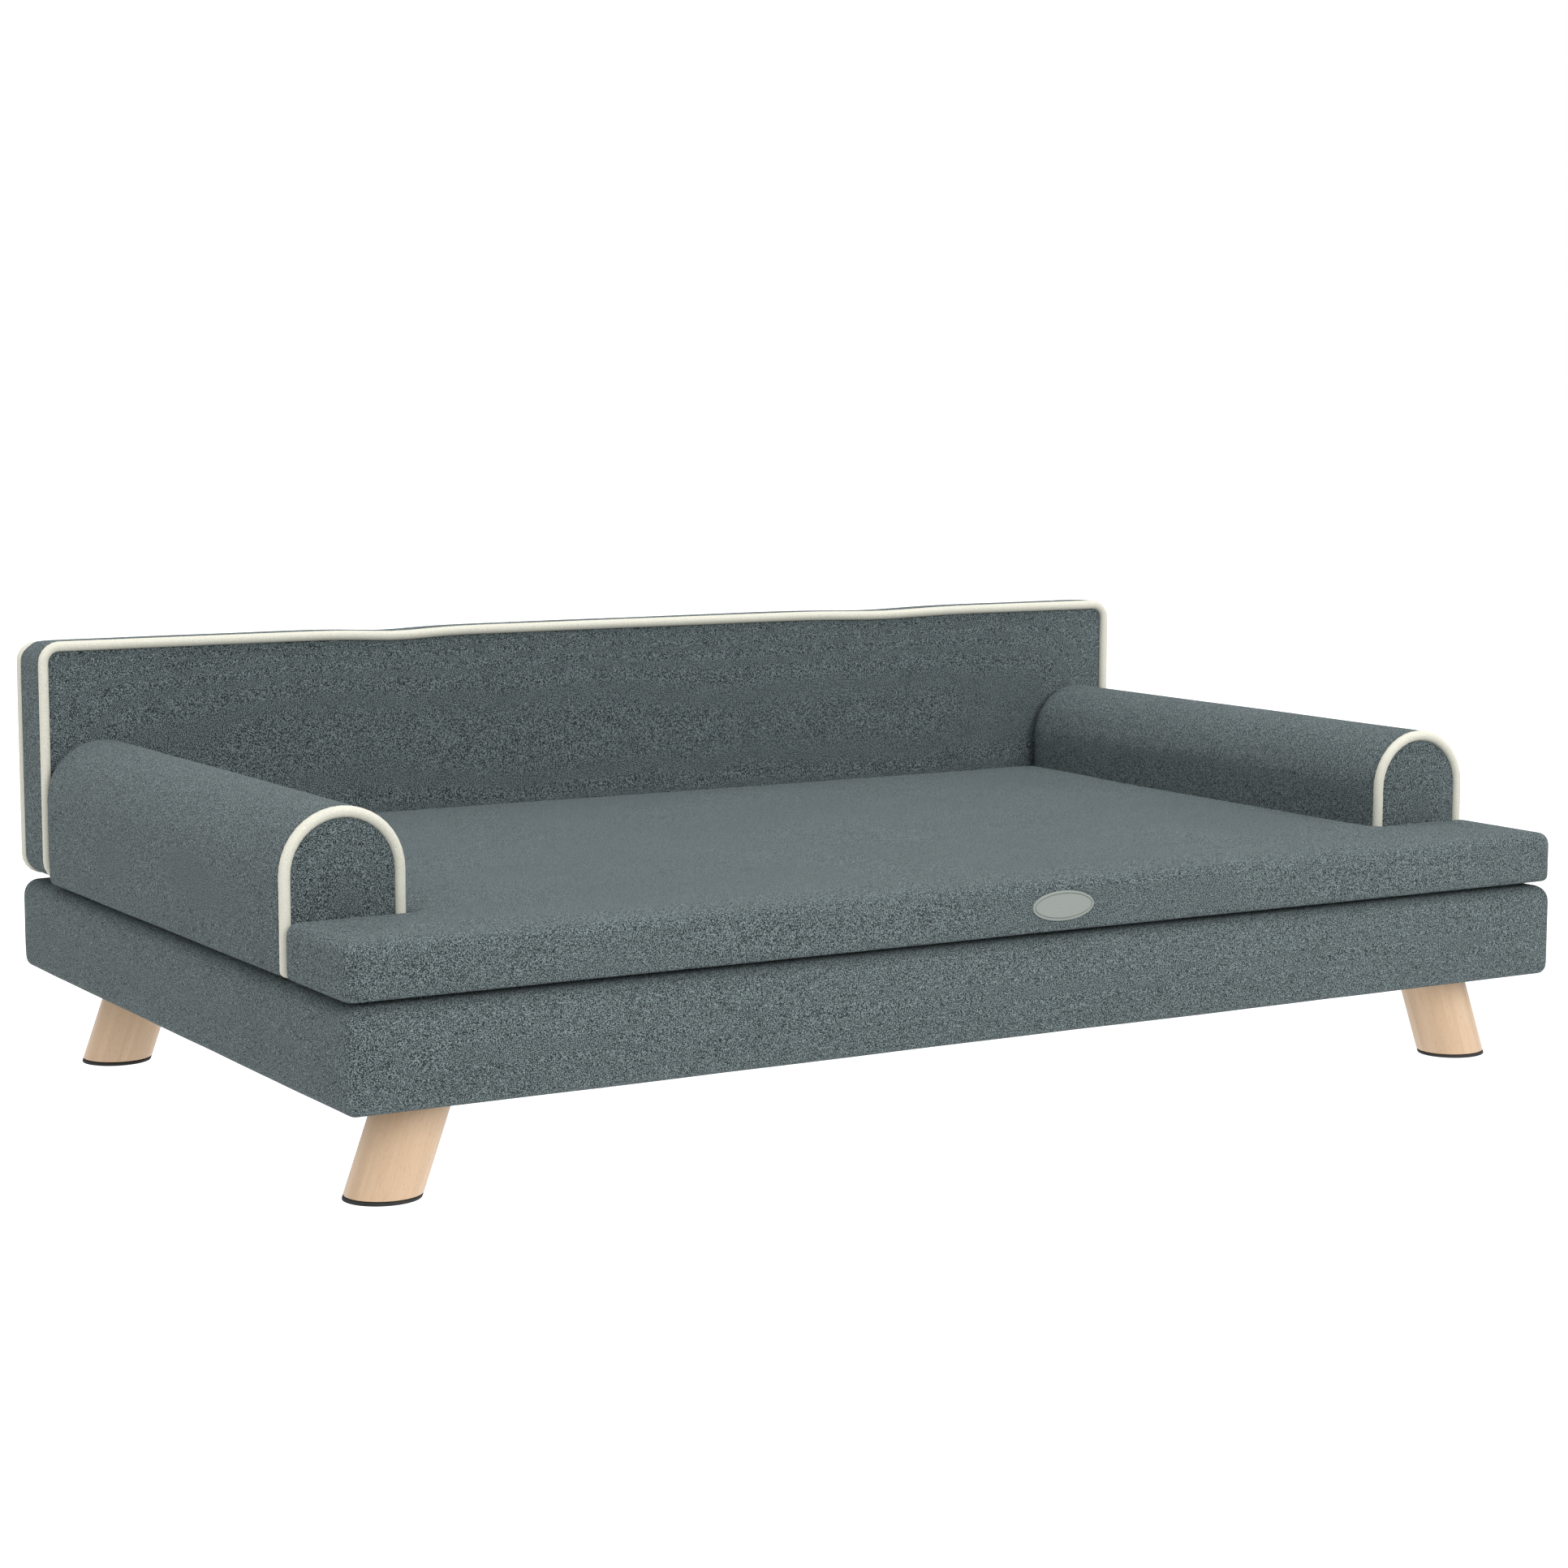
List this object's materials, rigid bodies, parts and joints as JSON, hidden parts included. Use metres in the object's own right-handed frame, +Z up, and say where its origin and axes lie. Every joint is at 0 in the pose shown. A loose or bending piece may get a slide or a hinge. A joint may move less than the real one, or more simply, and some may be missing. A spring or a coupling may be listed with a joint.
{
  "type": "dog bed with frame",
  "caption": "Low sofa-style dog bed: upholstered box base on splayed wooden legs, loose T-shaped cushion, round-topped armrests and a piped backrest.",
  "frame": {"origin": "on the floor under the middle of the bed, at the bottom centre of its box", "axes": "+X along the bed's length, to the right seen from the front; -Y is the open front and +Y the backrest; +Z up"},
  "size_m": [1, 0.632, 0.322],
  "materials": {
    "cover_fabric": "matte",
    "piping": "matte",
    "foam": "matte",
    "lining": "matte",
    "zip_tape": "matte",
    "leg_wood": "satin",
    "pine": "matte",
    "plywood": "matte",
    "steel": "satin",
    "badge_metal": "satin",
    "glide_pad": "matte"
  },
  "bodies": {
    "base": {"base_cover": "cover_fabric", "base_top_foam": "foam", "base_wadding": "foam", "deck_panel": "plywood", "front_rail": "pine", "rear_rail": "pine", "left_rail": "pine", "right_rail": "pine", "cross_rail_left": "pine", "cross_rail_right": "pine", "leg_block_front_left": "pine", "leg_block_front_right": "pine", "leg_block_rear_left": "pine", "leg_block_rear_right": "pine", "tee_nut_front_left": "steel", "tee_nut_front_right": "steel", "tee_nut_rear_left": "steel", "tee_nut_rear_right": "steel", "dust_cover": "lining", "arm_cover_left": "cover_fabric", "arm_cover_right": "cover_fabric", "arm_foam_left": "foam", "arm_foam_right": "foam", "arm_board_left": "plywood", "arm_board_right": "plywood", "arm_piping_left": "piping", "arm_piping_right": "piping", "arm_bolt_left_front": "steel", "arm_bolt_left_rear": "steel", "arm_bolt_right_front": "steel", "arm_bolt_right_rear": "steel", "back_cover": "cover_fabric", "back_foam": "foam", "back_panel": "plywood", "back_batten": "pine", "back_piping_front": "piping", "back_piping_rear": "piping", "back_bolt_left": "steel", "back_bolt_right": "steel"},
    "cushion": {"cushion_cover": "cover_fabric", "cushion_foam": "foam", "zip_tape_upper": "zip_tape", "zip_tape_lower": "zip_tape", "badge": "badge_metal"},
    "zip": {"zip_slider": "steel", "zip_pull": "steel"},
    "leg_fl": {"leg_front_left": "leg_wood", "hanger_bolt_front_left": "steel", "glide_front_left": "glide_pad"},
    "leg_fr": {"leg_front_right": "leg_wood", "hanger_bolt_front_right": "steel", "glide_front_right": "glide_pad"},
    "leg_rl": {"leg_rear_left": "leg_wood", "hanger_bolt_rear_left": "steel", "glide_rear_left": "glide_pad"},
    "leg_rr": {"leg_rear_right": "leg_wood", "hanger_bolt_rear_right": "steel", "glide_rear_right": "glide_pad"}
  },
  "joints": [
    {"name": "cushion_lift", "type": "slide", "parent": "base", "child": "cushion", "axis": [0, 0, 1], "range_m": [0, 0.25]},
    {"name": "zip_travel", "type": "slide", "parent": "cushion", "child": "zip", "axis": [1, 0, 0], "range_m": [0, 0.64]},
    {"name": "leg_turn_front_left", "type": "hinge", "parent": "base", "child": "leg_fl", "pos_m": [-0.42883, -0.258, 0.0664], "axis": [0, 0, 1], "continuous": true},
    {"name": "leg_turn_front_right", "type": "hinge", "parent": "base", "child": "leg_fr", "pos_m": [0.42883, -0.258, 0.0664], "axis": [0, 0, 1], "continuous": true},
    {"name": "leg_turn_rear_left", "type": "hinge", "parent": "base", "child": "leg_rl", "pos_m": [-0.42883, 0.24, 0.0664], "axis": [0, 0, 1], "continuous": true},
    {"name": "leg_turn_rear_right", "type": "hinge", "parent": "base", "child": "leg_rr", "pos_m": [0.42883, 0.24, 0.0664], "axis": [0, 0, 1], "continuous": true}
  ]
}
